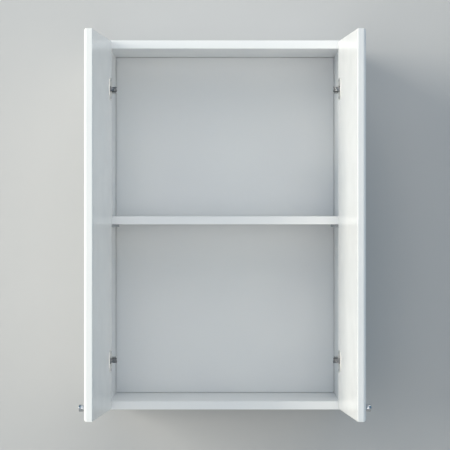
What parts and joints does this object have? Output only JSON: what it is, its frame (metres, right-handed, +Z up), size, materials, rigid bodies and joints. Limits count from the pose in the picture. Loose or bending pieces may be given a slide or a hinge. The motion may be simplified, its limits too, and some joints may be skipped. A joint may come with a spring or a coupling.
{
  "type": "hanging wall cabinet",
  "caption": "White hanging wall cabinet with double doors swung open, an inner shelf, concealed cup hinges and round metal knobs.",
  "frame": {"origin": "on the wall plane and the centre line, level with the entry holes of the hanger plates", "axes": "+Z up, +X to the right seen from the front, +Y towards the wall"},
  "size_m": [0.5364, 0.4398, 0.72],
  "materials": {
    "white_melamine": "satin",
    "white_lacquer": "satin",
    "white_hardboard": "matte",
    "beech": "matte",
    "chrome": "polished",
    "nickel_steel": "satin",
    "hinge_steel": "satin",
    "zinc_steel": "satin"
  },
  "bodies": {
    "carcass": {"back_panel": "white_hardboard", "bottom_panel": "white_melamine", "dowels": "beech", "hanger_screws": "zinc_steel", "left_arm_pins": "hinge_steel", "left_arm_screws": "zinc_steel", "left_bottom_hinge_arm": "hinge_steel", "left_bottom_hinge_plate": "nickel_steel", "left_hanger_plate": "zinc_steel", "left_plate_screws": "zinc_steel", "left_side_panel": "white_melamine", "left_top_hinge_arm": "hinge_steel", "left_top_hinge_plate": "nickel_steel", "right_arm_pins": "hinge_steel", "right_arm_screws": "zinc_steel", "right_bottom_hinge_arm": "hinge_steel", "right_bottom_hinge_plate": "nickel_steel", "right_hanger_plate": "zinc_steel", "right_plate_screws": "zinc_steel", "right_side_panel": "white_melamine", "right_top_hinge_arm": "hinge_steel", "right_top_hinge_plate": "nickel_steel", "shelf": "white_melamine", "shelf_pins": "zinc_steel", "top_panel": "white_melamine"},
    "left_inner_links": {"left_bottom_inner_link": "hinge_steel", "left_top_inner_link": "hinge_steel"},
    "left_outer_links": {"left_bottom_outer_link": "hinge_steel", "left_top_outer_link": "hinge_steel"},
    "left_door": {"left_bottom_hinge_cup": "nickel_steel", "left_cup_pins": "hinge_steel", "left_cup_screws": "zinc_steel", "left_door": "white_lacquer", "left_knob": "chrome", "left_knob_stud": "zinc_steel", "left_top_hinge_cup": "nickel_steel"},
    "right_inner_links": {"right_bottom_inner_link": "hinge_steel", "right_top_inner_link": "hinge_steel"},
    "right_outer_links": {"right_bottom_outer_link": "hinge_steel", "right_top_outer_link": "hinge_steel"},
    "right_door": {"right_bottom_hinge_cup": "nickel_steel", "right_cup_pins": "hinge_steel", "right_cup_screws": "zinc_steel", "right_door": "white_lacquer", "right_knob": "chrome", "right_knob_stud": "zinc_steel", "right_top_hinge_cup": "nickel_steel"}
  },
  "joints": [
    {"name": "left_door_pivot", "type": "hinge", "parent": "left_inner_links", "child": "left_door", "pos_m": [-0.22237, -0.21457, -0.32], "axis": [0, 0, -1], "range_deg": [-146.29, 0]},
    {"name": "left_inner_link_pivot", "type": "hinge", "parent": "carcass", "child": "left_inner_links", "pos_m": [-0.21235, -0.20333, -0.32], "axis": [0, 0, -1], "range_deg": [-0.1, 51.39]},
    {"name": "left_outer_link_pivot", "type": "hinge", "parent": "carcass", "child": "left_outer_links", "pos_m": [-0.21778, -0.2018, -0.32], "axis": [0, 0, -1], "range_deg": [-0.1, 58.21]},
    {"name": "right_door_pivot", "type": "hinge", "parent": "right_inner_links", "child": "right_door", "pos_m": [0.22237, -0.21457, -0.32], "axis": [0, 0, 1], "range_deg": [-146.29, 0]},
    {"name": "right_inner_link_pivot", "type": "hinge", "parent": "carcass", "child": "right_inner_links", "pos_m": [0.21235, -0.20333, -0.32], "axis": [0, 0, 1], "range_deg": [-0.1, 51.39]},
    {"name": "right_outer_link_pivot", "type": "hinge", "parent": "carcass", "child": "right_outer_links", "pos_m": [0.21778, -0.2018, -0.32], "axis": [0, 0, 1], "range_deg": [-0.1, 58.21]}
  ],
  "couplings": [
    {"joint": "left_inner_link_pivot", "follows": "left_door_pivot", "ratio": -0.35062},
    {"joint": "left_outer_link_pivot", "follows": "left_door_pivot", "ratio": -0.39719},
    {"joint": "right_inner_link_pivot", "follows": "right_door_pivot", "ratio": -0.35062},
    {"joint": "right_outer_link_pivot", "follows": "right_door_pivot", "ratio": -0.39719}
  ]
}
